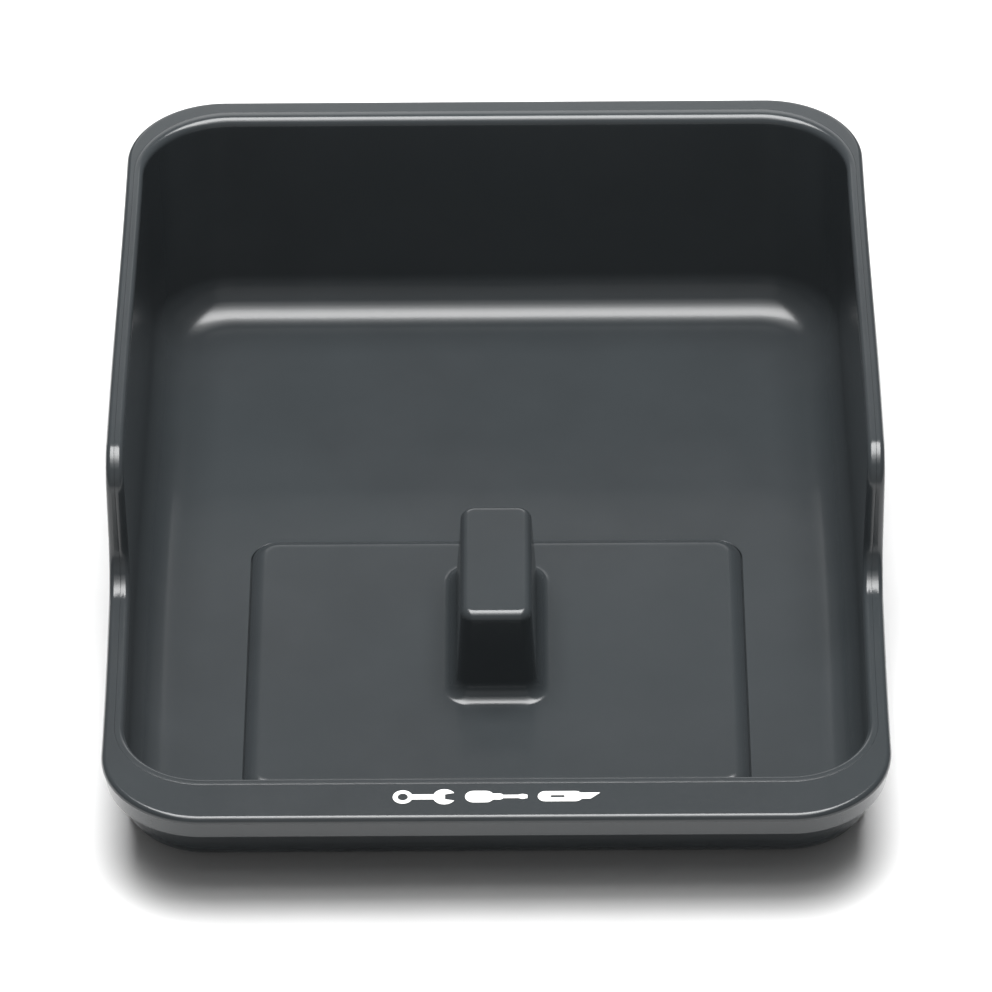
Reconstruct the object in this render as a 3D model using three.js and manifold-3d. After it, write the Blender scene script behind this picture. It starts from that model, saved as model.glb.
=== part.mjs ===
// Tool storage caddy: an open tray with a high back and a low front, a rim frame with a turned-down skirt,
// a lift-out floor plate with a grip lug, three printed tool marks and four soft feet.
// Millimetres. +X is the caddy's right, +Y its back, +Z up. The origin is under the middle, on the ground.
import * as THREE from "three";
import { mergeVertices } from "three/addons/utils/BufferGeometryUtils.js";
import Module from "manifold-3d";

const wasm = await Module();
wasm.setup();

// ---- Driving dimensions -------------------------------------------------------------------------------
const WIDTH = 230; // over the rim, at its corners
const DEPTH = 295.5; // over the rim
const FRONT_RIM_Z = 33; // top of the low front rim
const BACK_RIM_Z = 74; // top of the high side and back rim
const OUTER_CORNER = 30; // plan radius of the rim's outer corners

const LEDGE_FRONT = 18; // width of the rim's top, from its outer edge to the tub's inner wall
const LEDGE_SIDE = 5.3;
const LEDGE_BACK = 10.6;
const FRONT_CORNER = 24; // plan radius of the tub's inner corners at the rim
const BACK_CORNER = 27;

const STEP_Y = -36.85; // middle of the step in the side rims
const STEP_RUN = 3; // how far the step's straight line leans back between the two rim levels
const STEP_BEND = 12; // radius of the step's two bends

const BOW = 0.8; // how far each long side bows out between its corners
const BOW_Y = -15; // where it bows most
const BOW_FRONT = 91; // reach of the bow in front of that, and behind it
const BOW_BACK = 124;
const LOW_STATIONS_Y = [-86, -68]; // places along the low side rims, between corner and step
const HIGH_STATIONS_Y = [5, 27, 49, 70, 90]; // and along the high ones

const WALL = 2.4; // wall and floor thickness
const DRAFT = THREE.MathUtils.degToRad(1.3); // lean of the tub's front and side walls
const BACK_DRAFT = THREE.MathUtils.degToRad(2.9); // lean of its back wall
const FLOOR_FILLET = 12; // between floor and walls, inside
const BASE_ROUND = 9; // between base and walls, outside

const LIP_WIDTH = 2.7; // the tub's share of the rim's top, at the front and sides
const BACK_LIP_WIDTH = 4.4;
const LIP_ROUND = 1.8; // rounding of its inner edge at the sides
const LIP_ROUND_CHANGE = 0.8; // larger by this at the back, smaller by it at the front
const JOINT_GAP = 0.3; // between the tub's lip and the frame, and round every seated piece
const FLANGE = 2.4; // thickness of the frame's flat top
const SHOULDER = 1.8; // thickness of the tub's shoulder under the frame

const SKIRT_DROP = 7.8; // from the rim's top to the skirt's lower edge
const SKIRT_WALL = 1.9;
const SKIRT_ROUND = 1.65; // rounding of the frame's outer edge
const SKIRT_LINE = 1.9; // depth of the fine step line round the skirt
const SKIRT_LINE_STEP = 0.15;
const SKIRT_TAPER = 1.1; // how far the skirt's lower edge stands in
const SKIRT_FOOT_ROUND = 0.3;

const FOOT_PROUD = 0.8; // how far the feet stand below the base
const FOOT_RADIUS = 7;
const FOOT_HEIGHT = 1.5;
const FOOT_CHAMFER = 0.6;
const FOOT_SEAT = 1.0; // depth of the feet's seats
const FOOT_X = 84;
const FOOT_FRONT_Y = -104;
const FOOT_BACK_Y = 112;

const BASE_Z = FOOT_PROUD;
const FLOOR_Z = BASE_Z + WALL;

const PLATE = { width: 150, depth: 117.9, corner: 8.5, rise: 2.8, round: 6, y: -45 }; // y is its middle
const PLATE_SEAT = 1.0; // depth of the plate's seat in the floor
const PLATE_SKIN = 2.2;
const PLATE_WALL = 3.2; // outer edge of the plate, inside its rounding
const RIB_WALL = 1.4; // stiffening ribs under the plate
const LENGTH_RIBS_X = [-50, -25, 25, 50];
const CROSS_RIB_PITCH = 19; // two of the cross ribs run up inside the lug

const LUG = {
  top: 35.5, // height of its top above the ground
  width: 21.2, // at the top
  front: -59.6, // its front and back faces at the top
  back: -7.45,
  corner: 4.2,
  round: 2.6, // rounding of its top edge
  foot: { side: 4, end: 4.3, height: 5.2 }, // fillet at its foot
  sideLean: THREE.MathUtils.degToRad(3.4),
  endLean: THREE.MathUtils.degToRad(5.8), // of its front and back faces
};

const MARK_THICKNESS = 0.2; // ink film of the printed marks
const MARK_CLEARANCE = 0.02;
const MARK_Y = -138.55; // middle of the printed row
const MARK_PITCH = 21; // between the middles of two marks

const CORNER_STEPS = 8; // facets round each plan corner
const FILLET_STEPS = 5; // facets over each large fillet
const ROUND_STEPS = 3; // facets over each small rounding
const BEND_STEPS = 6; // facets over each bend of the step
const FOOT_FACETS = 32; // round each foot and its seat
const MIN_CORNER = 0.4;
const MERGE_DISTANCE = 1e-4;

// ---- Mesh helpers -------------------------------------------------------------------------------------

// A closed solid from a list of rings, each with the same number of points. The first and last rings are
// closed by a fan round their middle, or joined to each other when `loop` is true.
function ringSolid(rings, loop = false) {
  const count = rings[0].length;
  const points = rings.flat();
  const faces = [];
  const at = (ring, i) => ring * count + (i % count);
  const strips = loop ? rings.length : rings.length - 1;
  for (let ring = 0; ring < strips; ring++) {
    const next = (ring + 1) % rings.length;
    for (let i = 0; i < count; i++) {
      faces.push(at(ring, i), at(ring, i + 1), at(next, i + 1));
      faces.push(at(ring, i), at(next, i + 1), at(next, i));
    }
  }
  if (!loop) {
    for (const ring of [0, rings.length - 1]) {
      const middle = new THREE.Vector3();
      rings[ring].forEach((p) => middle.addScaledVector(p, 1 / count));
      const centre = points.push(middle) - 1;
      for (let i = 0; i < count; i++) {
        if (ring === 0) faces.push(centre, at(ring, i + 1), at(ring, i));
        else faces.push(centre, at(ring, i), at(ring, i + 1));
      }
    }
  }
  const geometry = new THREE.BufferGeometry().setFromPoints(points);
  geometry.setIndex(faces);
  return solid(geometry);
}

// A manifold-3d solid from a closed three.js geometry, turned so that its faces point out.
function solid(geometry) {
  const bare = geometry.clone();
  bare.deleteAttribute("normal");
  bare.deleteAttribute("uv");
  const merged = mergeVertices(bare, MERGE_DISTANCE);
  const vertProperties = merged.attributes.position.array;
  const triVerts = new Uint32Array(merged.index.array);
  const make = () => new wasm.Manifold(new wasm.Mesh({ numProp: 3, vertProperties, triVerts }));
  const made = make();
  if (made.volume() > 0) return made;
  for (let i = 0; i < triVerts.length; i += 3) {
    [triVerts[i + 1], triVerts[i + 2]] = [triVerts[i + 2], triVerts[i + 1]];
  }
  return make();
}

function geometryOf(made) {
  const mesh = made.getMesh();
  const geometry = new THREE.BufferGeometry();
  geometry.setAttribute("position", new THREE.BufferAttribute(new Float32Array(mesh.vertProperties), 3));
  geometry.setIndex(new THREE.BufferAttribute(new Uint32Array(mesh.triVerts), 1));
  geometry.computeVertexNormals();
  return geometry;
}

// Steps from 0 to 1 in equal parts, both ends included.
const fractions = (steps) => Array.from({ length: steps + 1 }, (_, i) => i / steps);
const quarter = (steps) => fractions(steps).map((f) => (f * Math.PI) / 2);

// ---- Stations round the rim ---------------------------------------------------------------------------
// Each station is one place round the rim: a point on the tub's inner edge, a point on the rim's outer edge,
// the outward direction in plan, the rim's height there, and the lean of the rim's top towards the front.

const DROP = BACK_RIM_Z - FRONT_RIM_Z;
const STEP_ANGLE = Math.atan2(DROP, STEP_RUN);
const STEP_TANGENT = STEP_BEND * Math.tan(STEP_ANGLE / 2);
const LOW_BEND_Y = STEP_Y - STEP_RUN / 2 - STEP_TANGENT; // where the low rim starts to turn up
const HIGH_BEND_Y = STEP_Y + STEP_RUN / 2 + STEP_TANGENT; // where the high rim starts
const wallSetIn = (z) => (BACK_RIM_Z - z) * Math.tan(DRAFT);

const HALF_W = WIDTH / 2;
const HALF_D = DEPTH / 2;
const INNER_X = { low: HALF_W - LEDGE_SIDE - wallSetIn(FRONT_RIM_Z), high: HALF_W - LEDGE_SIDE };

// The rim's line over the step, from its low end to its high end: y, height, and lean towards the front.
function stepLine() {
  const line = [];
  for (const f of fractions(BEND_STEPS)) {
    const turn = f * STEP_ANGLE;
    line.push({
      y: LOW_BEND_Y + STEP_BEND * Math.sin(turn),
      z: FRONT_RIM_Z + STEP_BEND * (1 - Math.cos(turn)),
      lean: turn,
    });
  }
  for (const f of fractions(BEND_STEPS)) {
    const turn = (1 - f) * STEP_ANGLE;
    line.push({
      y: HIGH_BEND_Y - STEP_BEND * Math.sin(turn),
      z: BACK_RIM_Z - STEP_BEND * (1 - Math.cos(turn)),
      lean: turn,
    });
  }
  return line;
}

// How far the long sides stand out at a place along them.
function bow(y) {
  const reach = y < BOW_Y ? BOW_FRONT : BOW_BACK;
  const along = Math.min(1, Math.abs(y - BOW_Y) / reach);
  return BOW * Math.cos((along * Math.PI) / 2) ** 2;
}

// Stations of the right half, from the middle of the front to the middle of the back.
function rightStations() {
  const stations = [];
  const add = (inner, outer, angle, z, lean, wallY) => {
    stations.push({
      inner: new THREE.Vector2(...inner),
      outer: new THREE.Vector2(...outer),
      out: new THREE.Vector2(Math.cos(angle), Math.sin(angle)),
      z,
      lean,
      wallY: wallY ?? inner[1],
    });
  };
  const corner = (radiusIn, radiusOut, centreIn, centreOut, start, z) => {
    for (const f of fractions(CORNER_STEPS)) {
      const angle = start + (f * Math.PI) / 2;
      const on = (centre, radius) => [
        centre[0] + radius * Math.cos(angle),
        centre[1] + radius * Math.sin(angle),
      ];
      add(on(centreIn, radiusIn), on(centreOut, radiusOut), angle, z, 0);
    }
  };
  const innerFront = -HALF_D + LEDGE_FRONT;
  const innerBack = HALF_D - LEDGE_BACK;
  const outerCornerX = HALF_W - OUTER_CORNER;
  const outerCornerY = HALF_D - OUTER_CORNER;

  for (const x of [0, outerCornerX / 2]) {
    add([x, innerFront], [x, -HALF_D], -Math.PI / 2, FRONT_RIM_Z, 0);
  }
  corner(
    FRONT_CORNER,
    OUTER_CORNER,
    [INNER_X.low - FRONT_CORNER, innerFront + FRONT_CORNER],
    [outerCornerX, -outerCornerY],
    -Math.PI / 2,
    FRONT_RIM_Z,
  );
  for (const y of LOW_STATIONS_Y) {
    add([INNER_X.low + bow(y), y], [HALF_W + bow(y), y], 0, FRONT_RIM_Z, 0);
  }
  const line = stepLine();
  const wallStart = LOW_BEND_Y;
  const wallEnd = HIGH_BEND_Y;
  line.forEach(({ y, z, lean }, i) => {
    const spread = wallStart + ((wallEnd - wallStart) * i) / (line.length - 1);
    const edge = HALF_W + bow(y);
    add([edge - LEDGE_SIDE - wallSetIn(z), y], [edge, y], 0, z, lean, spread);
  });
  for (const y of HIGH_STATIONS_Y) {
    add([INNER_X.high + bow(y), y], [HALF_W + bow(y), y], 0, BACK_RIM_Z, 0);
  }
  corner(
    BACK_CORNER,
    OUTER_CORNER,
    [INNER_X.high - BACK_CORNER, innerBack - BACK_CORNER],
    [outerCornerX, outerCornerY],
    0,
    BACK_RIM_Z,
  );
  for (const x of [outerCornerX / 2, 0]) {
    add([x, innerBack], [x, HALF_D], Math.PI / 2, BACK_RIM_Z, 0);
  }
  return stations;
}

// The whole way round, counterclockwise from the middle of the front.
function allStations() {
  const right = rightStations();
  const left = right
    .slice(1, -1)
    .reverse()
    .map((s) => ({
      ...s,
      inner: new THREE.Vector2(-s.inner.x, s.inner.y),
      outer: new THREE.Vector2(-s.outer.x, s.outer.y),
      out: new THREE.Vector2(-s.out.x, s.out.y),
    }));
  return [...right, ...left];
}

const STATIONS = allStations();

// How far a station belongs to the back, from 0 at the front and sides to 1 along the back.
const backness = ({ out }) => Math.max(0, out.y) ** 2;
const draftOf = (station) => DRAFT + (BACK_DRAFT - DRAFT) * backness(station);
const lipWidth = (station) => LIP_WIDTH + (BACK_LIP_WIDTH - LIP_WIDTH) * backness(station);
const lipRound = ({ out }) => LIP_ROUND + LIP_ROUND_CHANGE * out.y;

// A point of the rim's section: `across` is measured outwards from the tub's inner edge, or inwards from the
// rim's outer edge when `fromOuter` is true, and `up` square to the rim's top.
function rimPoint(station, across, up, fromOuter = false) {
  const { inner, outer, out, z, lean } = station;
  const height = z + up * Math.cos(lean);
  const start = fromOuter
    ? outer.clone().addScaledVector(out, -across)
    : inner.clone().addScaledVector(out, across - (z - height) * Math.tan(draftOf(station)));
  return new THREE.Vector3(start.x, start.y - up * Math.sin(lean), height);
}

// A point of the tub's wall at a height, `across` outwards from its inner face.
function wallPoint(station, across, height) {
  const { inner, out, z, wallY } = station;
  const start = new THREE.Vector2(inner.x, wallY);
  start.addScaledVector(out, across - (z - height) * Math.tan(draftOf(station)));
  return new THREE.Vector3(start.x, start.y, height);
}

const ring = (place) => STATIONS.map(place);

// ---- Tub ----------------------------------------------------------------------------------------------

function roundedPlate(width, depth, corner, height) {
  const x = width / 2;
  const y = depth / 2;
  const shape = new THREE.Shape();
  shape.moveTo(-x + corner, -y);
  shape.absarc(x - corner, -y + corner, corner, -Math.PI / 2, 0);
  shape.absarc(x - corner, y - corner, corner, 0, Math.PI / 2);
  shape.absarc(-x + corner, y - corner, corner, Math.PI / 2, Math.PI);
  shape.absarc(-x + corner, -y + corner, corner, Math.PI, (3 * Math.PI) / 2);
  return new THREE.ExtrudeGeometry(shape, { depth: height, bevelEnabled: false, curveSegments: CORNER_STEPS });
}

function footPlaces() {
  return [
    { name: "foot_front_left", x: -FOOT_X, y: FOOT_FRONT_Y },
    { name: "foot_front_right", x: FOOT_X, y: FOOT_FRONT_Y },
    { name: "foot_back_left", x: -FOOT_X, y: FOOT_BACK_Y },
    { name: "foot_back_right", x: FOOT_X, y: FOOT_BACK_Y },
  ];
}

function tubGeometry() {
  const rings = [];
  // Floor fillet, from the floor up to the wall.
  for (const turn of quarter(FILLET_STEPS).reverse()) {
    const setIn = FLOOR_FILLET * (1 - Math.cos(turn));
    const height = FLOOR_Z + FLOOR_FILLET * (1 - Math.sin(turn));
    rings.push(ring((s) => wallPoint(s, -setIn, height)));
  }
  // Lip: rounded inner edge, flat top, then down to the shoulder.
  for (const turn of quarter(ROUND_STEPS)) {
    const across = 1 - Math.cos(turn);
    const up = Math.sin(turn) - 1;
    rings.push(ring((s) => rimPoint(s, across * lipRound(s), up * lipRound(s))));
  }
  const shoulderTop = -(FLANGE + JOINT_GAP);
  const shoulderFoot = shoulderTop - SHOULDER;
  const reach = SKIRT_WALL + JOINT_GAP;
  rings.push(ring((s) => rimPoint(s, lipWidth(s), 0)));
  rings.push(ring((s) => rimPoint(s, lipWidth(s), shoulderTop)));
  rings.push(ring((s) => rimPoint(s, reach, shoulderTop, true)));
  rings.push(ring((s) => rimPoint(s, reach, shoulderFoot, true)));
  rings.push(ring((s) => rimPoint(s, WALL, shoulderFoot)));
  // Outside wall and the round under it.
  for (const turn of quarter(FILLET_STEPS)) {
    const across = WALL - BASE_ROUND * (1 - Math.cos(turn));
    const height = BASE_Z + BASE_ROUND * (1 - Math.sin(turn));
    rings.push(ring((s) => wallPoint(s, across, height)));
  }
  let tub = ringSolid(rings);

  // Seat for the floor plate, and seats for the feet.
  const seat = roundedPlate(
    PLATE.width + 2 * JOINT_GAP,
    PLATE.depth + 2 * JOINT_GAP,
    PLATE.corner + JOINT_GAP,
    PLATE_SEAT + 1,
  );
  seat.translate(0, PLATE.y, FLOOR_Z - PLATE_SEAT);
  tub = tub.subtract(solid(seat));
  for (const { x, y } of footPlaces()) {
    const radius = FOOT_RADIUS + JOINT_GAP;
    const hole = new THREE.CylinderGeometry(radius, radius, 2 * FOOT_SEAT, FOOT_FACETS);
    hole.rotateX(Math.PI / 2);
    hole.translate(x, y, BASE_Z);
    tub = tub.subtract(solid(hole));
  }
  return geometryOf(tub);
}

// ---- Rim frame ----------------------------------------------------------------------------------------

function frameGeometry() {
  const rings = [];
  rings.push(ring((s) => rimPoint(s, lipWidth(s) + JOINT_GAP, -FLANGE)));
  rings.push(ring((s) => rimPoint(s, lipWidth(s) + JOINT_GAP, 0)));
  for (const turn of quarter(ROUND_STEPS + 1)) {
    const across = SKIRT_ROUND * (1 - Math.sin(turn));
    const up = -SKIRT_ROUND * (1 - Math.cos(turn));
    rings.push(ring((s) => rimPoint(s, across, up, true)));
  }
  rings.push(ring((s) => rimPoint(s, 0, -SKIRT_LINE, true)));
  rings.push(ring((s) => rimPoint(s, SKIRT_LINE_STEP, -SKIRT_LINE - SKIRT_LINE_STEP, true)));
  rings.push(ring((s) => rimPoint(s, SKIRT_TAPER, -SKIRT_DROP + SKIRT_FOOT_ROUND, true)));
  rings.push(ring((s) => rimPoint(s, SKIRT_TAPER + SKIRT_FOOT_ROUND, -SKIRT_DROP, true)));
  rings.push(ring((s) => rimPoint(s, SKIRT_WALL, -SKIRT_DROP, true)));
  rings.push(ring((s) => rimPoint(s, SKIRT_WALL, -FLANGE, true)));
  return geometryOf(ringSolid(rings, true));
}

// ---- Lift-out plate with its grip lug -----------------------------------------------------------------

// A rounded rectangle at one height, as a ring of points. `growX` and `growY` move its outline outwards.
function roundedRing({ x0, x1, y0, y1, corner }, height, growX = 0, growY = growX) {
  const radiusX = Math.max(corner + growX, MIN_CORNER);
  const radiusY = Math.max(corner + growY, MIN_CORNER);
  const [left, right] = [x0 - growX + radiusX, x1 + growX - radiusX];
  const [front, back] = [y0 - growY + radiusY, y1 + growY - radiusY];
  const centres = [
    [right, front],
    [right, back],
    [left, back],
    [left, front],
  ];
  const points = [];
  centres.forEach(([x, y], side) => {
    for (const f of fractions(CORNER_STEPS)) {
      const angle = ((side - 1 + f) * Math.PI) / 2;
      points.push(new THREE.Vector3(x + radiusX * Math.cos(angle), y + radiusY * Math.sin(angle), height));
    }
  });
  return points;
}

// The lug's outline at a height: its faces lean in towards the top.
function lugOutline(height) {
  const below = LUG.top - height;
  const half = LUG.width / 2 + below * Math.tan(LUG.sideLean);
  return {
    x0: -half,
    x1: half,
    y0: LUG.front - below * Math.tan(LUG.endLean),
    y1: LUG.back + below * Math.tan(LUG.endLean),
    corner: LUG.corner,
  };
}

function plateGeometry() {
  const outline = {
    x0: -PLATE.width / 2,
    x1: PLATE.width / 2,
    y0: PLATE.y - PLATE.depth / 2,
    y1: PLATE.y + PLATE.depth / 2,
    corner: PLATE.corner,
  };
  const foot = FLOOR_Z - PLATE_SEAT + JOINT_GAP;
  const top = FLOOR_Z + PLATE.rise;
  const ceiling = top - PLATE_SKIN;
  // Outside: lower edge, rounded top edge, top face, foot fillet, lug and its rounded top edge.
  const rings = [roundedRing(outline, foot)];
  const steepest = Math.acos(1 - PLATE.rise / PLATE.round); // lean of the edge's rounding at the floor
  for (const f of fractions(ROUND_STEPS + 1)) {
    const turn = (1 - f) * steepest;
    const setIn = PLATE.round * (Math.sin(steepest) - Math.sin(turn));
    rings.push(roundedRing(outline, top - PLATE.round * (1 - Math.cos(turn)), -setIn));
  }
  for (const turn of quarter(FILLET_STEPS).reverse()) {
    const height = top + LUG.foot.height * (1 - Math.sin(turn));
    const reach = 1 - Math.cos(turn);
    rings.push(roundedRing(lugOutline(height), height, LUG.foot.side * reach, LUG.foot.end * reach));
  }
  for (const turn of quarter(ROUND_STEPS + 1)) {
    const height = LUG.top - LUG.round * (1 - Math.sin(turn));
    rings.push(roundedRing(lugOutline(height), height, -LUG.round * (1 - Math.cos(turn))));
  }
  // Hollow underneath, crossed by ribs.
  const hollowTop = LUG.top - PLATE_SKIN;
  const below = foot - 1;
  let hollow = ringSolid([
    roundedRing(outline, below, -PLATE_WALL),
    roundedRing(outline, ceiling, -PLATE_WALL),
    roundedRing(lugOutline(ceiling), ceiling, -PLATE_SKIN),
    roundedRing(lugOutline(hollowTop), hollowTop, -PLATE_SKIN),
  ]);
  const rib = (width, depth, x, y) => {
    const box = new THREE.BoxGeometry(width, depth, LUG.top);
    box.translate(x, y, foot + LUG.top / 2);
    return solid(box);
  };
  for (const x of LENGTH_RIBS_X) {
    hollow = hollow.subtract(rib(RIB_WALL, PLATE.depth, x, PLATE.y));
  }
  for (const k of [-2, -1, 0, 1, 2]) {
    hollow = hollow.subtract(rib(PLATE.width, RIB_WALL, 0, PLATE.y + k * CROSS_RIB_PITCH));
  }
  return geometryOf(ringSolid(rings).subtract(hollow));
}

// ---- Feet ---------------------------------------------------------------------------------------------

function footGeometry() {
  const profile = [
    new THREE.Vector2(0, 0),
    new THREE.Vector2(FOOT_RADIUS - FOOT_CHAMFER, 0),
    new THREE.Vector2(FOOT_RADIUS, FOOT_CHAMFER),
    new THREE.Vector2(FOOT_RADIUS, FOOT_HEIGHT),
    new THREE.Vector2(0, FOOT_HEIGHT),
  ];
  const foot = new THREE.LatheGeometry(profile, FOOT_FACETS);
  foot.rotateX(Math.PI / 2);
  return geometryOf(solid(foot));
}

// ---- Printed marks ------------------------------------------------------------------------------------
// Each mark is a flat side view of a tool lying along X, as one thin film.

function film(shape) {
  return solid(
    new THREE.ExtrudeGeometry(shape, { depth: MARK_THICKNESS, bevelEnabled: false, curveSegments: 10 }),
  );
}

function polygon(points) {
  return film(new THREE.Shape(points.map(([x, y]) => new THREE.Vector2(x, y))));
}

function disc(x, y, radius) {
  const shape = new THREE.Shape();
  shape.absarc(x, y, radius, 0, 2 * Math.PI);
  return film(shape);
}

// A bar along X with round ends.
function bar(x0, x1, width) {
  const radius = width / 2;
  const shape = new THREE.Shape();
  shape.moveTo(x0 + radius, -radius);
  shape.absarc(x1 - radius, 0, radius, -Math.PI / 2, Math.PI / 2);
  shape.absarc(x0 + radius, 0, radius, Math.PI / 2, (3 * Math.PI) / 2);
  return film(shape);
}

function spannerMark() {
  const jaw = polygon([
    [6.2, -1.1],
    [10, -1.9],
    [10, 1.9],
    [6.2, 1.1],
  ]);
  return bar(-7.5, 7, 2.2).add(disc(-6, 0, 2.9)).add(disc(6, 0, 3.3)).subtract(disc(-6, 0, 1.5)).subtract(jaw);
}

function screwdriverMark() {
  const tip = polygon([
    [6, -0.6],
    [7.6, -1.1],
    [9, -0.7],
    [9, 0.7],
    [7.6, 1.1],
    [6, 0.6],
  ]);
  return bar(-9, -0.6, 5).add(bar(-3, 2.2, 2.6)).add(bar(-1, 7, 1.4)).add(tip);
}

function knifeMark() {
  const blade = polygon([
    [2.5, -1.1],
    [6.2, -1.1],
    [9, 1.5],
    [2.5, 1.5],
  ]);
  const slot = bar(-5.4, -1.2, 1);
  return bar(-9, 4, 4.4).add(blade).subtract(slot);
}

// ---- Assembly -----------------------------------------------------------------------------------------

const charcoal = (name) => {
  const material = new THREE.MeshStandardMaterial({ color: 0x3d4244, roughness: 0.5, metalness: 0 });
  material.name = name;
  return material;
};

const caddy = new THREE.Group();

function addPiece(name, geometry, material, x = 0, y = 0, z = 0) {
  const mesh = new THREE.Mesh(geometry, material);
  mesh.name = name;
  mesh.position.set(x, y, z);
  caddy.add(mesh);
}

addPiece("tray_tub", tubGeometry(), charcoal("tub plastic"));
addPiece("rim_frame", frameGeometry(), charcoal("frame plastic"));
addPiece("grip_plate", plateGeometry(), charcoal("plate plastic"));

const marks = [
  ["legend_spanner", spannerMark()],
  ["legend_screwdriver", screwdriverMark()],
  ["legend_knife", knifeMark()],
];
const markZ = FRONT_RIM_Z + MARK_CLEARANCE;
marks.forEach(([name, mark], i) => {
  const ink = new THREE.MeshStandardMaterial({ color: 0xf2f2f0, roughness: 0.6, metalness: 0 });
  addPiece(name, geometryOf(mark), ink, (i - 1) * MARK_PITCH, MARK_Y, markZ);
});

for (const { name, x, y } of footPlaces()) {
  const rubber = new THREE.MeshStandardMaterial({ color: 0x1c1c1d, roughness: 0.85, metalness: 0 });
  addPiece(name, footGeometry(), rubber, x, y);
}

export default caddy;
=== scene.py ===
"""Tool storage caddy: visual model, camera and studio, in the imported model's frame (metres)."""

import math

import bmesh
import bpy
from mathutils import Matrix, Vector


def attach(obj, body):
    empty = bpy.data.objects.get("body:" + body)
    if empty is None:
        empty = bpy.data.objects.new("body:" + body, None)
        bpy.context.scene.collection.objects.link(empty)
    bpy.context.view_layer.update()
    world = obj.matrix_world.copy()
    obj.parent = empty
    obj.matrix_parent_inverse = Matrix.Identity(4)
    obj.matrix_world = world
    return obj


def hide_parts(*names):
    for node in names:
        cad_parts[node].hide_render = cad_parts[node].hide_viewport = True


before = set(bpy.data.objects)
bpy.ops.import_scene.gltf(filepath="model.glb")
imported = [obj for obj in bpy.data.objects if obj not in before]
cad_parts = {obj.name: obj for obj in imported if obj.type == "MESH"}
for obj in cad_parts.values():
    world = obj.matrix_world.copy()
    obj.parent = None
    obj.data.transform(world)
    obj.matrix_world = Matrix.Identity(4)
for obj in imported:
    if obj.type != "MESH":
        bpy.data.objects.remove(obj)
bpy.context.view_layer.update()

MM = 0.001

# ---- Dimensions in millimetres, the same as the CAD's ----------------------------------------------------
WIDTH, DEPTH = 230.0, 295.5
FRONT_RIM_Z, BACK_RIM_Z = 33.0, 74.0
OUTER_CORNER = 30.0
LEDGE_FRONT, LEDGE_SIDE, LEDGE_BACK = 18.0, 5.3, 10.6
FRONT_CORNER, BACK_CORNER = 24.0, 27.0
STEP_Y, STEP_RUN, STEP_BEND = -36.85, 3.0, 12.0
BOW, BOW_Y, BOW_FRONT, BOW_BACK = 0.8, -15.0, 91.0, 124.0
WALL = 2.4
DRAFT, BACK_DRAFT = math.tan(math.radians(1.3)), math.tan(math.radians(2.9))
FLOOR_FILLET, BASE_ROUND = 12.0, 9.0
LIP_WIDTH, BACK_LIP_WIDTH = 2.8, 4.5
LIP_ROUND, LIP_ROUND_CHANGE = 1.8, 0.8  # at the sides; more at the back, less at the front
JOINT_GAP = 0.3
RIM_GAP = 0.03  # the frame sits closer to the tub's lip than the CAD's clearance
FLANGE, SHOULDER = 2.4, 1.8
SKIRT_DROP, SKIRT_WALL, SKIRT_ROUND = 7.8, 1.9, 1.65
SKIRT_LINE, SKIRT_TAPER = 1.9, 1.1
BASE_Z = 0.8
FLOOR_Z = BASE_Z + WALL
EDGE = 0.16  # softened edges round the plate's seat
FINE_EDGE = 0.04  # softened edges along the rim's joint line
SKIRT_FOOT_ROUND = 0.3
# The crease round the skirt, from above: inwards from the face over it, and upwards from SKIRT_LINE.
SKIRT_CREASE = ((0.0, 0.1), (0.08, 0.0), (0.12, -0.12), (0.20, -0.6))

PLATE = dict(
    x=75.0,  # half its width
    front=-103.95,
    back=13.95,
    corner=8.5,
    rise=2.8,
    round=6.0,
    seat=1.0,  # depth of its seat in the floor
    skin=2.2,
    wall=3.2,
)
LUG = dict(
    top=35.5,
    half=10.6,  # half its width at the top
    front=-59.6,
    back=-7.45,
    corner=4.2,
    round=2.6,
    foot_side=4.0,  # fillet at its foot: reach at the sides, reach at the ends, height
    foot_end=4.3,
    foot_height=5.2,
    side=math.tan(math.radians(3.4)),  # lean of its sides, and of its front and back
    end=math.tan(math.radians(5.8)),
)
RIB_WALL = 1.4
RIB_REACH_X, RIB_REACH_Y = 80.0, 70.0  # half the length of the rib cutters, past the plate's edges
LENGTH_RIBS_X = (-50.0, -25.0, 25.0, 50.0)
CROSS_RIB_PITCH = 19.0
CROSS_RIBS = range(-2, 3)
FOOT_SEAT = dict(radius=7.3, top=1.8)
FOOT_PLACES = ((-84.0, -104.0), (84.0, -104.0), (-84.0, 112.0), (84.0, 112.0))

# Facets of each kind of curve or straight.
CORNER_STEPS = 26
BEND_STEPS = 16
RISE_STEPS = 5
SIDE_LOW_STEPS = 8
SIDE_HIGH_STEPS = 14
END_STEPS = 6
FILLET_STEPS = 18
LARGE_ROUND_STEPS = 14
SMALL_ROUND_STEPS = 12
SKIRT_FOOT_STEPS = 5
EDGE_STEPS = 3
FOOT_SEAT_STEPS = 64
PLATE_CORNER_STEPS = 14
PLATE_SIDE_STEPS = 4

# Rings this far past a curve keep the flat beyond it flat in the smooth shading.
HOLD = 1.0
FLOOR_HOLD = 1.5
LIP_HOLD = 1.5  # in parts of the lip's rounding
LUG_FOOT_HOLD = 0.8
LUG_SIDE_HOLD = 0.6
LUG_TOP_HOLD = 0.5
PLATE_FOOT_HOLD = 0.3
FRAME_HOLD = 0.1
FRAME_EDGE_HOLD = 0.08
SKIRT_FOOT_HOLD = 0.6

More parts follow.
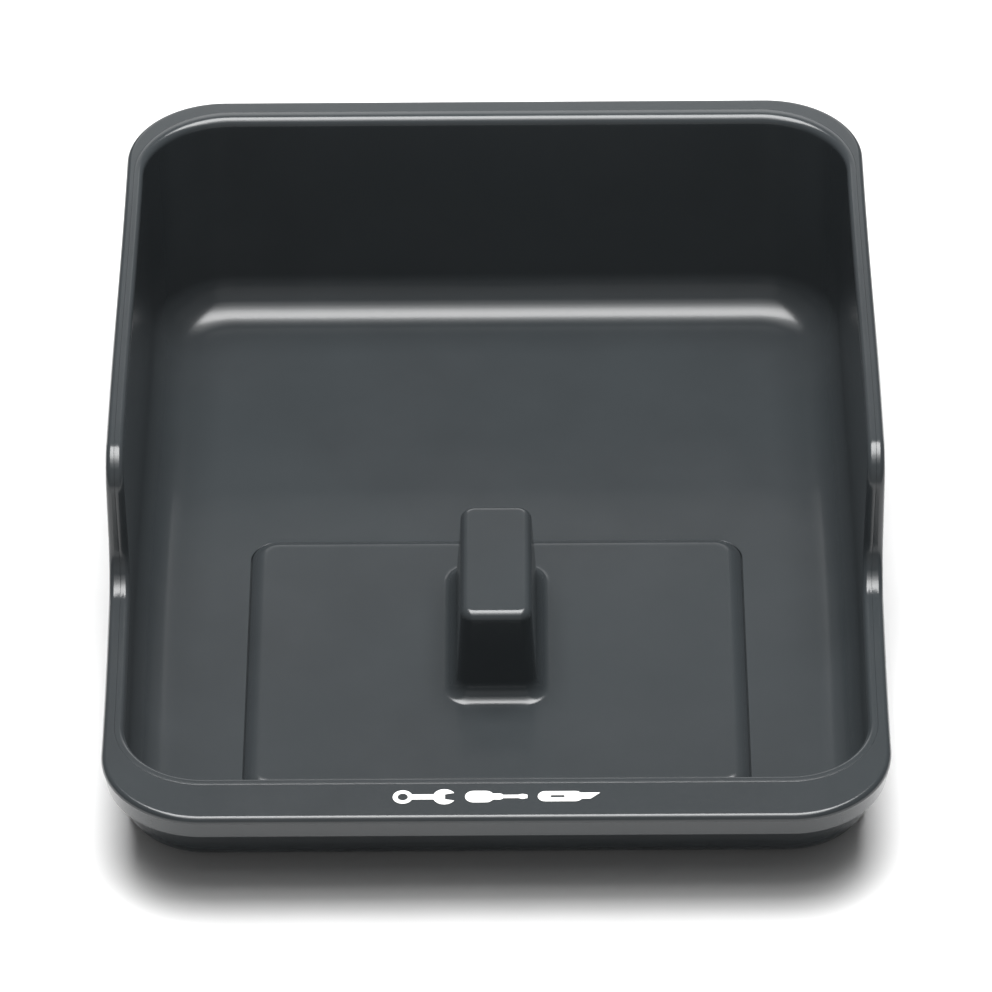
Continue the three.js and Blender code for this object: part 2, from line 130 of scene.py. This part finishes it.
SHARP_ANGLE = 35.0  # edges steeper than this, in degrees, are shaded sharp
FRAME_SHARP_ANGLE = 40.0
MIN_CORNER = 0.3
MERGE_DISTANCE = 1e-7  # metres
CUT_EXTRA = 1.0  # how far cutters stand out of what they cut


# ---- Mesh helpers --------------------------------------------------------------------------------------


def arc(steps, start=0.0, end=math.pi / 2):
    return [start + (end - start) * i / steps for i in range(steps + 1)]


def linked(name, data):
    obj = bpy.data.objects.new(name, data)
    bpy.context.scene.collection.objects.link(obj)
    return obj


def plain_object(name, verts, faces, merge=False):
    """An object from vertices in millimetres, with its faces turned outwards."""
    mesh = bpy.data.meshes.new(name)
    mesh.from_pydata([(x * MM, y * MM, z * MM) for x, y, z in verts], [], faces)
    bm = bmesh.new()
    bm.from_mesh(mesh)
    if merge:
        bmesh.ops.remove_doubles(bm, verts=bm.verts, dist=MERGE_DISTANCE)
    bmesh.ops.recalc_face_normals(bm, faces=bm.faces)
    bm.to_mesh(mesh)
    bm.free()
    return linked(name, mesh)


def shown_piece(name, rings, body, nodes, sharp=SHARP_ANGLE, closed=False):
    """A shown piece through rings, in place of CAD nodes, shaded smooth by angle."""
    obj = plain_object(name, *loft(rings, closed), merge=True)
    smooth_by_angle(obj, sharp)
    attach(obj, body)
    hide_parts(*nodes)
    return obj


def smooth_by_angle(obj, degrees):
    obj.data.shade_smooth()
    obj.data.set_sharp_from_angle(angle=math.radians(degrees))


def loft(rings, closed=False):
    """Vertices and quads through rings of equal length. Open ends get one flat face each."""
    count = len(rings[0])
    verts = [p for ring in rings for p in ring]
    faces = []
    strips = len(rings) if closed else len(rings) - 1
    for r in range(strips):
        a, b = r * count, ((r + 1) % len(rings)) * count
        for i in range(count):
            j = (i + 1) % count
            faces.append((a + i, a + j, b + j, b + i))
    if not closed:
        faces.append(tuple(reversed(range(count))))
        faces.append(tuple(range((len(rings) - 1) * count, len(rings) * count)))
    return verts, faces


def cut(obj, cutters):
    """Subtracts closed meshes from obj and removes them."""
    bpy.context.view_layer.objects.active = obj
    for cutter in cutters:
        mod = obj.modifiers.new("cut", "BOOLEAN")
        mod.operation = "DIFFERENCE"
        mod.solver = "EXACT"
        mod.object = cutter
    bpy.context.view_layer.update()
    deps = bpy.context.evaluated_depsgraph_get()
    mesh = bpy.data.meshes.new_from_object(obj.evaluated_get(deps))
    obj.modifiers.clear()
    old = obj.data
    obj.data = mesh
    bpy.data.meshes.remove(old)
    for cutter in cutters:
        data = cutter.data
        bpy.data.objects.remove(cutter)
        bpy.data.meshes.remove(data)


# ---- Stations round the rim ----------------------------------------------------------------------------
# A station is (inner x, inner y, outer x, outer y, out x, out y, height, lean, wall y).

HALF_W, HALF_D = WIDTH / 2, DEPTH / 2
STEP_ANGLE = math.atan2(BACK_RIM_Z - FRONT_RIM_Z, STEP_RUN)
STEP_TANGENT = STEP_BEND * math.tan(STEP_ANGLE / 2)
LOW_BEND_Y = STEP_Y - STEP_RUN / 2 - STEP_TANGENT
HIGH_BEND_Y = STEP_Y + STEP_RUN / 2 + STEP_TANGENT


def inner_x(z):
    return HALF_W - LEDGE_SIDE - (BACK_RIM_Z - z) * DRAFT


def bow(y):
    along = min(1.0, abs(y - BOW_Y) / (BOW_FRONT if y < BOW_Y else BOW_BACK))
    return BOW * math.cos(along * math.pi / 2) ** 2


def right_stations():
    out = []
    x_low, x_high = inner_x(FRONT_RIM_Z), inner_x(BACK_RIM_Z)
    y_front, y_back = -HALF_D + LEDGE_FRONT, HALF_D - LEDGE_BACK
    ox, oy = HALF_W - OUTER_CORNER, HALF_D - OUTER_CORNER
    for i in range(END_STEPS):
        f = i / END_STEPS
        out.append((f * (x_low - FRONT_CORNER), y_front, f * ox, -HALF_D, 0, -1, FRONT_RIM_Z, 0, y_front))
    cx, cy = x_low - FRONT_CORNER, y_front + FRONT_CORNER
    for a in arc(CORNER_STEPS, -math.pi / 2, 0):
        c, s = math.cos(a), math.sin(a)
        iy = cy + FRONT_CORNER * s
        px, py = ox + OUTER_CORNER * c, -oy + OUTER_CORNER * s
        out.append((cx + FRONT_CORNER * c, iy, px, py, c, s, FRONT_RIM_Z, 0, iy))
    y_start, y_in = out[-1][3], out[-1][1]
    for i in range(1, SIDE_LOW_STEPS):
        f = i / SIDE_LOW_STEPS
        y = y_start + f * (LOW_BEND_Y - y_start)
        yi = y_in + f * (LOW_BEND_Y - y_in)
        out.append((x_low + bow(yi), yi, HALF_W + bow(y), y, 1, 0, FRONT_RIM_Z, 0, yi))
    path = []
    for t in arc(BEND_STEPS, 0, STEP_ANGLE):
        path.append((LOW_BEND_Y + STEP_BEND * math.sin(t), FRONT_RIM_Z + STEP_BEND * (1 - math.cos(t)), t))
    upper = []
    for t in arc(BEND_STEPS, STEP_ANGLE, 0):
        upper.append((HIGH_BEND_Y - STEP_BEND * math.sin(t), BACK_RIM_Z - STEP_BEND * (1 - math.cos(t)), t))
    low_end, high_start = path[-1], upper[0]
    for i in range(1, RISE_STEPS):
        f = i / RISE_STEPS
        y = low_end[0] + f * (high_start[0] - low_end[0])
        z = low_end[1] + f * (high_start[1] - low_end[1])
        path.append((y, z, STEP_ANGLE))
    path += upper
    for i, (y, z, lean) in enumerate(path):
        wall_y = LOW_BEND_Y + (HIGH_BEND_Y - LOW_BEND_Y) * i / (len(path) - 1)
        out.append((inner_x(z) + bow(y), y, HALF_W + bow(y), y, 1, 0, z, lean, wall_y))
    cx, cy = x_high - BACK_CORNER, y_back - BACK_CORNER
    for i in range(1, SIDE_HIGH_STEPS):
        f = i / SIDE_HIGH_STEPS
        y = HIGH_BEND_Y + f * (oy - HIGH_BEND_Y)
        yi = HIGH_BEND_Y + f * (cy - HIGH_BEND_Y)
        out.append((x_high + bow(yi), yi, HALF_W + bow(y), y, 1, 0, BACK_RIM_Z, 0, yi))
    for a in arc(CORNER_STEPS, 0, math.pi / 2):
        c, s = math.cos(a), math.sin(a)
        iy = cy + BACK_CORNER * s
        px, py = ox + OUTER_CORNER * c, oy + OUTER_CORNER * s
        out.append((cx + BACK_CORNER * c, iy, px, py, c, s, BACK_RIM_Z, 0, iy))
    for i in range(1, END_STEPS + 1):
        f = 1 - i / END_STEPS
        out.append((f * cx, y_back, f * ox, HALF_D, 0, 1, BACK_RIM_Z, 0, y_back))
    return out


def all_stations():
    right = right_stations()
    left = [(-a, b, -c, d, -e, g, h, k, m) for a, b, c, d, e, g, h, k, m in reversed(right[1:-1])]
    return right + left


STATIONS = all_stations()
RIGHT_COUNT = len(right_stations())


def towards_back(ny, low, high):
    """A value that is low at the front and sides and high along the back."""
    return low + (high - low) * max(0.0, ny) ** 2


def rim_ring(across, up, outer=False, lip=False):
    """A ring of the rim's section: up from the top, and across from the inner edge or in from the outer one.

    With lip, across is measured from the outer edge of the tub's lip.
    """
    ring = []
    for ix, iy, px, py, nx, ny, z, lean, _ in STATIONS:
        height = z + up * math.cos(lean)
        if outer:
            x, y = px - nx * across, py - ny * across
        else:
            reach = across - (z - height) * towards_back(ny, DRAFT, BACK_DRAFT)
            if lip:
                reach += towards_back(ny, LIP_WIDTH, BACK_LIP_WIDTH)
            x, y = ix + nx * reach, iy + ny * reach
        ring.append((x, y - up * math.sin(lean), height))
    return ring


def round_ring(across, up):
    """A ring of the tub's lip, with both measures in parts of the local rounding of its inner edge."""
    ring = []
    for ix, iy, _, _, nx, ny, z, lean, _ in STATIONS:
        radius = LIP_ROUND + LIP_ROUND_CHANGE * ny
        height = z + up * radius * math.cos(lean)
        reach = across * radius - (z - height) * towards_back(ny, DRAFT, BACK_DRAFT)
        ring.append((ix + nx * reach, iy + ny * reach - up * radius * math.sin(lean), height))
    return ring


def wall_ring(across, height):
    ring = []
    for ix, _, _, _, nx, ny, z, _, wy in STATIONS:
        reach = across - (z - height) * towards_back(ny, DRAFT, BACK_DRAFT)
        ring.append((ix + nx * reach, wy + ny * reach, height))
    return ring


def seat_ring(x, front, back, corner, height):
    """A rounded rectangle with as many points as a rim ring, in the same order."""
    right = []
    for i in range(END_STEPS):
        right.append((i / END_STEPS * (x - corner), front))
    for a in arc(CORNER_STEPS, -math.pi / 2, 0):
        right.append((x - corner + corner * math.cos(a), front + corner + corner * math.sin(a)))
    side = RIGHT_COUNT - 2 * END_STEPS - 2 * (CORNER_STEPS + 1)
    y0, y1 = front + corner, back - corner
    for i in range(1, side + 1):
        right.append((x, y0 + (y1 - y0) * i / (side + 1)))
    for a in arc(CORNER_STEPS, 0, math.pi / 2):
        right.append((x - corner + corner * math.cos(a), back - corner + corner * math.sin(a)))
    for i in range(1, END_STEPS + 1):
        right.append(((1 - i / END_STEPS) * (x - corner), back))
    left = [(-px, py) for px, py in reversed(right[1:-1])]
    return [(px, py, height) for px, py in right + left]


# ---- Tub -----------------------------------------------------------------------------------------------


def make_tub():
    rings = []
    x, front, back = PLATE["x"] + JOINT_GAP, PLATE["front"] - JOINT_GAP, PLATE["back"] + JOINT_GAP
    corner = PLATE["corner"] + JOINT_GAP
    seat_z = FLOOR_Z - PLATE["seat"]
    # Seat for the plate: its floor, its wall and its softened edge.
    rings.append(seat_ring(x - HOLD, front + HOLD, back - HOLD, corner - HOLD, seat_z))
    rings.append(seat_ring(x, front, back, corner, seat_z))
    rings.append(seat_ring(x, front, back, corner, FLOOR_Z - EDGE))
    for t in arc(EDGE_STEPS)[1:]:
        g = EDGE * (1 - math.cos(t))
        rings.append(seat_ring(x + g, front - g, back + g, corner + g, FLOOR_Z - EDGE * (1 - math.sin(t))))
    rings.append(seat_ring(x + HOLD, front - HOLD, back + HOLD, corner + HOLD, FLOOR_Z))
    # Floor and its fillet.
    rings.append(wall_ring(-FLOOR_FILLET - FLOOR_HOLD, FLOOR_Z))
    for t in reversed(arc(FILLET_STEPS)):
        height = FLOOR_Z + FLOOR_FILLET * (1 - math.sin(t))
        rings.append(wall_ring(-FLOOR_FILLET * (1 - math.cos(t)), height))
    rings.append(wall_ring(0, FLOOR_Z + FLOOR_FILLET + HOLD))
    # Lip.
    rings.append(round_ring(0, -LIP_HOLD))
    for t in arc(SMALL_ROUND_STEPS):
        rings.append(round_ring(1 - math.cos(t), math.sin(t) - 1))
    for t in arc(EDGE_STEPS):
        rings.append(rim_ring(-FINE_EDGE * (1 - math.sin(t)), -FINE_EDGE * (1 - math.cos(t)), lip=True))
    shoulder = -(FLANGE + RIM_GAP)
    reach = SKIRT_WALL + RIM_GAP
    rings.append(rim_ring(0, shoulder, lip=True))
    rings.append(rim_ring(reach, shoulder, outer=True))
    rings.append(rim_ring(reach, shoulder - SHOULDER, outer=True))
    rings.append(rim_ring(WALL, shoulder - SHOULDER))
    rings.append(rim_ring(WALL, shoulder - SHOULDER - HOLD))
    # Outside wall and the round under it.
    rings.append(wall_ring(WALL, BASE_Z + BASE_ROUND + HOLD))
    for t in arc(LARGE_ROUND_STEPS):
        height = BASE_Z + BASE_ROUND * (1 - math.sin(t))
        rings.append(wall_ring(WALL - BASE_ROUND * (1 - math.cos(t)), height))
    rings.append(wall_ring(WALL - BASE_ROUND - FLOOR_HOLD, BASE_Z))
    tub = shown_piece("tub_shell", rings, "tray", ["tray_tub"])
    cutters = []
    for fx, fy in FOOT_PLACES:
        ring = [
            (fx + FOOT_SEAT["radius"] * math.cos(a), fy + FOOT_SEAT["radius"] * math.sin(a))
            for a in arc(FOOT_SEAT_STEPS, 0, 2 * math.pi)[:-1]
        ]
        seat = [[(px, py, z) for px, py in ring] for z in (-CUT_EXTRA, FOOT_SEAT["top"])]
        cutters.append(plain_object("seat_cutter", *loft(seat)))
    cut(tub, cutters)
    smooth_by_angle(tub, SHARP_ANGLE)
    return tub


# ---- Rim frame -----------------------------------------------------------------------------------------


def make_frame():
    rings = []
    edge = FINE_EDGE
    rings.append(rim_ring(RIM_GAP, -FLANGE, lip=True))
    for t in arc(EDGE_STEPS):
        rings.append(rim_ring(RIM_GAP + edge * (1 - math.cos(t)), -edge * (1 - math.sin(t)), lip=True))
    rings.append(rim_ring(RIM_GAP + edge + FRAME_EDGE_HOLD, 0, lip=True))
    rings.append(rim_ring(SKIRT_ROUND + FRAME_HOLD, 0, outer=True))
    for t in arc(SMALL_ROUND_STEPS):
        rings.append(rim_ring(SKIRT_ROUND * (1 - math.sin(t)), -SKIRT_ROUND * (1 - math.cos(t)), outer=True))
    for inwards, above in SKIRT_CREASE:
        rings.append(rim_ring(inwards, -SKIRT_LINE + above, outer=True))
    foot = SKIRT_FOOT_ROUND
    rings.append(rim_ring(SKIRT_TAPER - FRAME_HOLD, -SKIRT_DROP + foot + SKIRT_FOOT_HOLD, outer=True))
    for t in arc(SKIRT_FOOT_STEPS):
        up = -SKIRT_DROP + foot * (1 - math.sin(t))
        rings.append(rim_ring(SKIRT_TAPER + foot * (1 - math.cos(t)), up, outer=True))
    rings.append(rim_ring(SKIRT_WALL, -SKIRT_DROP, outer=True))
    rings.append(rim_ring(SKIRT_WALL, -FLANGE, outer=True))
    return shown_piece(
        "rim_shell", rings, "tray", ["rim_frame"], sharp=FRAME_SHARP_ANGLE, closed=True
    )


# ---- Lift-out plate ------------------------------------------------------------------------------------


def rounded_ring(x, front, back, corner, grow_x, grow_y, height):
    """A rounded rectangle as a ring, counterclockwise, grown outwards, with its straight sides split."""
    rx, ry = max(corner + grow_x, MIN_CORNER), max(corner + grow_y, MIN_CORNER)
    left, right = -x - grow_x + rx, x + grow_x - rx
    low, high = front - grow_y + ry, back + grow_y - ry
    centres = (
        (right, low, -math.pi / 2),
        (right, high, 0.0),
        (left, high, math.pi / 2),
        (left, low, math.pi),
    )
    corners = [
        [
            (cx + rx * math.cos(a), cy + ry * math.sin(a))
            for a in arc(PLATE_CORNER_STEPS, start, start + math.pi / 2)
        ]
        for cx, cy, start in centres
    ]
    ring = []
    for points, following in zip(corners, corners[1:] + corners[:1]):
        ring += points
        (ax, ay), (bx, by) = points[-1], following[0]
        for i in range(1, PLATE_SIDE_STEPS):
            f = i / PLATE_SIDE_STEPS
            ring.append((ax + (bx - ax) * f, ay + (by - ay) * f))
    return [(px, py, height) for px, py in ring]


def plate_ring(height, grow):
    return rounded_ring(PLATE["x"], PLATE["front"], PLATE["back"], PLATE["corner"], grow, grow, height)


def lug_ring(height, grow_x, grow_y=None):
    below = LUG["top"] - height
    return rounded_ring(
        LUG["half"] + below * LUG["side"],
        LUG["front"] - below * LUG["end"],
        LUG["back"] + below * LUG["end"],
        LUG["corner"],
        grow_x,
        grow_x if grow_y is None else grow_y,
        height,
    )


def make_plate():
    foot = FLOOR_Z - PLATE["seat"] + JOINT_GAP
    top = FLOOR_Z + PLATE["rise"]
    r = PLATE["round"]
    steepest = math.acos(1 - PLATE["rise"] / r)
    rings = [plate_ring(foot, -EDGE), plate_ring(foot + EDGE, 0), plate_ring(FLOOR_Z - PLATE_FOOT_HOLD, 0)]
    for t in reversed(arc(LARGE_ROUND_STEPS, 0, steepest)):
        rings.append(plate_ring(top - r * (1 - math.cos(t)), -r * (math.sin(steepest) - math.sin(t))))
    rings.append(plate_ring(top, -r * math.sin(steepest) - LUG_FOOT_HOLD))
    side, end, rise = LUG["foot_side"], LUG["foot_end"], LUG["foot_height"]
    rings.append(lug_ring(top, side + LUG_FOOT_HOLD, end + LUG_FOOT_HOLD))
    for t in reversed(arc(FILLET_STEPS)):
        reach = 1 - math.cos(t)
        rings.append(lug_ring(top + rise * (1 - math.sin(t)), side * reach, end * reach))
    rings.append(lug_ring(top + rise + LUG_FOOT_HOLD, 0))
    r = LUG["round"]
    rings.append(lug_ring(LUG["top"] - r - LUG_SIDE_HOLD, 0))
    for t in arc(LARGE_ROUND_STEPS):
        rings.append(lug_ring(LUG["top"] - r * (1 - math.sin(t)), -r * (1 - math.cos(t))))
    rings.append(lug_ring(LUG["top"], -r - LUG_TOP_HOLD))
    plate = shown_piece("grip_plate_shell", rings, "plate", ["grip_plate"])
    # Ribbed hollow underneath.
    skin = PLATE["skin"]
    ceiling, hollow_top = top - skin, LUG["top"] - skin
    hollow_rings = [
        plate_ring(foot - CUT_EXTRA, -PLATE["wall"]),
        plate_ring(ceiling, -PLATE["wall"]),
        lug_ring(ceiling, -skin),
        lug_ring(hollow_top, -skin),
    ]
    hollow = plain_object("hollow_cutter", *loft(hollow_rings))
    ribs = []
    middle = (PLATE["front"] + PLATE["back"]) / 2
    for x in LENGTH_RIBS_X:
        ribs.append((x - RIB_WALL / 2, x + RIB_WALL / 2, middle - RIB_REACH_Y, middle + RIB_REACH_Y))
    for k in CROSS_RIBS:
        y = middle + k * CROSS_RIB_PITCH
        ribs.append((-RIB_REACH_X, RIB_REACH_X, y - RIB_WALL / 2, y + RIB_WALL / 2))
    cutters = []
    low, high = foot - 2 * CUT_EXTRA, LUG["top"] + 2 * CUT_EXTRA
    for x0, x1, y0, y1 in ribs:
        box = [[(x0, y0, z), (x1, y0, z), (x1, y1, z), (x0, y1, z)] for z in (low, high)]
        cutters.append(plain_object("rib_cutter", *loft(box)))
    cut(hollow, cutters)
    cut(plate, [hollow])
    smooth_by_angle(plate, SHARP_ANGLE)
    return plate


tub = make_tub()
rim = make_frame()
plate = make_plate()


# ---- Materials -----------------------------------------------------------------------------------------


class Nodes:
    """A small builder for a Principled material in object coordinates."""

    def __init__(self, name):
        self.material = bpy.data.materials.new(name)
        self.material.use_nodes = True
        self.tree = self.material.node_tree
        self.tree.nodes.clear()
        self.output = self.tree.nodes.new("ShaderNodeOutputMaterial")
        self.shader = self.tree.nodes.new("ShaderNodeBsdfPrincipled")
        self.link(self.shader.outputs["BSDF"], self.output.inputs["Surface"])
        self.coords = self.tree.nodes.new("ShaderNodeTexCoord").outputs["Object"]

    def link(self, a, b):
        self.tree.links.new(a, b)

    def put(self, socket, value):
        if isinstance(value, bpy.types.NodeSocket):
            self.link(value, socket)
        else:
            socket.default_value = value

    def noise(self, scale, detail, roughness=0.5):
        node = self.tree.nodes.new("ShaderNodeTexNoise")
        node.inputs["Scale"].default_value = scale
        node.inputs["Detail"].default_value = detail
        node.inputs["Roughness"].default_value = roughness
        self.link(self.coords, node.inputs["Vector"])
        return node.outputs["Fac"]

    def patches(self, scale, detail, roughness=0.5, part=(0.3, 0.7), to=(0.0, 1.0)):
        """Noise, with one part of its range spread over another range."""
        node = self.tree.nodes.new("ShaderNodeMapRange")
        self.link(self.noise(scale, detail, roughness), node.inputs["Value"])
        for key, value in zip(("From Min", "From Max", "To Min", "To Max"), part + to):
            node.inputs[key].default_value = value
        return node.outputs["Result"]

    def math(self, operation, a, b):
        node = self.tree.nodes.new("ShaderNodeMath")
        node.operation = operation
        self.put(node.inputs[0], a)
        self.put(node.inputs[1], b)
        return node.outputs[0]

    def mix(self, factor, a, b):
        node = self.tree.nodes.new("ShaderNodeMix")
        node.data_type = "RGBA"
        self.put(node.inputs["Factor"], factor)
        self.put(node.inputs["A"], a)
        self.put(node.inputs["B"], b)
        return node.outputs["Result"]

    def bump(self, height, distance, strength, normal=None):
        node = self.tree.nodes.new("ShaderNodeBump")
        node.inputs["Distance"].default_value = distance
        node.inputs["Strength"].default_value = strength
        self.link(height, node.inputs["Height"])
        if normal:
            self.link(normal, node.inputs["Normal"])
        return node.outputs["Normal"]


ALBEDO = (0.0295, 0.0333, 0.0360)
ROUGH, ROUGH_SPREAD = 0.195, 0.035
PLASTIC_IOR = 1.5
DARKER, PALER = 0.93, 1.07  # ends of the mottling in tone
COOLER, COOLER_SHARE = (0.96, 1.02, 1.03), 0.5  # tint of the cooler patches, and its most
MOTTLE_SCALE, HUE_SCALE, GLOSS_SCALE, GRAIN_SCALE, WAVE_SCALE = 34, 11, 2200, 2600, 45  # per metre
GRAIN_DEPTH, WAVE_DEPTH = 0.00002, 0.0002  # metres


def charcoal(name, color, rough):
    """Satin moulded plastic: fine spark-eroded grain, with faint flow mottling in tone and hue."""
    n = Nodes(name)
    dark = tuple(c * DARKER for c in color) + (1,)
    pale = tuple(c * PALER for c in color) + (1,)
    cool = tuple(c * tint for c, tint in zip(color, COOLER)) + (1,)
    base = n.mix(n.patches(MOTTLE_SCALE, 4, 0.55), dark, pale)
    hue = n.patches(HUE_SCALE, 2, part=(0.35, 0.65))
    base = n.mix(n.math("MULTIPLY", hue, COOLER_SHARE), base, cool)
    n.put(n.shader.inputs["Base Color"], base)
    gloss = n.patches(GLOSS_SCALE, 2, to=(rough - ROUGH_SPREAD, rough + ROUGH_SPREAD))
    n.put(n.shader.inputs["Roughness"], gloss)
    n.shader.inputs["IOR"].default_value = PLASTIC_IOR
    fine = n.bump(n.noise(GRAIN_SCALE, 3, 0.6), GRAIN_DEPTH, strength=0.55)
    wave = n.bump(n.noise(WAVE_SCALE, 1), WAVE_DEPTH, strength=0.10, normal=fine)
    n.put(n.shader.inputs["Normal"], wave)
    return n.material


def ink():
    n = Nodes("white_ink")
    cover = n.patches(900, 4, 0.6, part=(0.35, 0.65))
    n.put(n.shader.inputs["Base Color"], n.mix(cover, (0.80, 0.80, 0.79, 1), (0.93, 0.93, 0.92, 1)))
    n.put(n.shader.inputs["Roughness"], n.patches(700, 2, to=(0.5, 0.62)))
    n.put(n.shader.inputs["Normal"], n.bump(n.noise(1500, 3), distance=0.00002, strength=0.5))
    return n.material


def rubber():
    n = Nodes("foot_rubber")
    patch = n.patches(180, 4)
    n.put(n.shader.inputs["Base Color"], n.mix(patch, (0.016, 0.016, 0.017, 1), (0.03, 0.03, 0.031, 1)))
    n.put(n.shader.inputs["Roughness"], n.patches(400, 3, to=(0.72, 0.9)))
    n.put(n.shader.inputs["Normal"], n.bump(n.noise(900, 4), distance=0.00006, strength=0.6))
    return n.material


def paint(obj, material):
    obj.data.materials.clear()
    obj.data.materials.append(material)


def paint_slots(node, material):
    """Paints a CAD node and leaves its mesh and slots alone."""
    for s in node.material_slots:
        s.material = material
    if not node.material_slots:
        node.data.materials.append(material)


paint(tub, charcoal("charcoal_tub", ALBEDO, ROUGH))
paint(rim, charcoal("charcoal_frame", ALBEDO, ROUGH))
paint(plate, charcoal("charcoal_plate", ALBEDO, ROUGH))
white = ink()
soft = rubber()
for name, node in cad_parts.items():
    if name.startswith("legend_"):
        paint_slots(node, white)
    elif name.startswith("foot_"):
        paint_slots(node, soft)


# ---- Floor, light and camera ---------------------------------------------------------------------------

TARGET = Vector((0, -0.00035, 0.0329))
ELEVATION, DISTANCE = math.radians(39.0), 2.2061
YAW, ROLL = -0.0050, -0.0088
FOCAL_LENGTH, SENSOR_WIDTH = 263.83, 36.0
CLIP = (0.05, 50.0)
FLOOR_HALF = 6.0  # half the side of the paper
WORLD_RADIANCE = 0.11
# Name, place, the point it faces, width, height, radiance.
LIGHTS = (
    ("softbox", (0, 0.285, 1.2), (0, 0.285, 0), 1.0, 0.67, 13.0),
    ("softbox_front", (0, -0.15, 1.2), (0, -0.15, 0), 1.0, 0.20, 10.0),
    ("softbox_edge", (0, -0.375, 1.2), (0, -0.375, 0), 1.0, 0.25, 4.0),
    ("softbox_spill", (0, -0.68, 1.2), (0, -0.68, 0), 1.0, 0.36, 1.2),
    ("backdrop", (0, 1.6, 0.735), (0, 0, 0.735), 1.1, 0.77, 1.8),
    ("room", (0, -2.4, 1.1), (0, 0, 1.1), 2.4, 2.2, 0.24),
)


def area_light(name, location, target, size, size_y, radiance):
    data = bpy.data.lights.new(name, "AREA")
    data.shape = "RECTANGLE"
    data.size, data.size_y = size, size_y
    data.energy = radiance * math.pi * size * size_y
    obj = linked(name, data)
    obj.location = location
    obj.rotation_euler = (Vector(target) - obj.location).to_track_quat("-Z", "Y").to_euler()


def make_floor():
    mesh = bpy.data.meshes.new("floor")
    s = FLOOR_HALF
    mesh.from_pydata([(-s, -s, 0), (s, -s, 0), (s, s, 0), (-s, s, 0)], [], [(0, 1, 2, 3)])
    floor = linked("floor", mesh)
    n = Nodes("paper")
    fibre = n.patches(40, 4)
    n.put(n.shader.inputs["Base Color"], n.mix(fibre, (0.80, 0.80, 0.80, 1), (0.82, 0.82, 0.82, 1)))
    n.shader.inputs["Roughness"].default_value = 0.7
    n.shader.inputs["Specular IOR Level"].default_value = 0.2
    paint(floor, n.material)


def make_world(radiance):
    world = bpy.data.worlds.new("studio")
    bpy.context.scene.world = world
    world.use_nodes = True
    background = world.node_tree.nodes["Background"]
    background.inputs["Color"].default_value = (radiance, radiance, radiance, 1)
    background.inputs["Strength"].default_value = 1.0


def make_camera():
    right = Vector((math.cos(YAW), -math.sin(YAW), 0))
    ahead = Vector((math.sin(YAW), math.cos(YAW), 0))
    back = -ahead * math.cos(ELEVATION) + Vector((0, 0, math.sin(ELEVATION)))
    up = ahead * math.sin(ELEVATION) + Vector((0, 0, math.cos(ELEVATION)))
    rolled_right = right * math.cos(ROLL) + up * math.sin(ROLL)
    rolled_up = up * math.cos(ROLL) - right * math.sin(ROLL)
    data = bpy.data.cameras.new("camera")
    data.sensor_width = SENSOR_WIDTH
    data.lens = FOCAL_LENGTH
    data.clip_start, data.clip_end = CLIP
    camera = linked("camera", data)
    rotation = Matrix((rolled_right, rolled_up, back)).transposed()
    camera.matrix_world = Matrix.Translation(TARGET + back * DISTANCE) @ rotation.to_4x4()
    bpy.context.scene.camera = camera


make_floor()
make_world(WORLD_RADIANCE)
for light in LIGHTS:
    area_light(*light)
make_camera()
bpy.context.scene.view_settings.view_transform = "Standard"
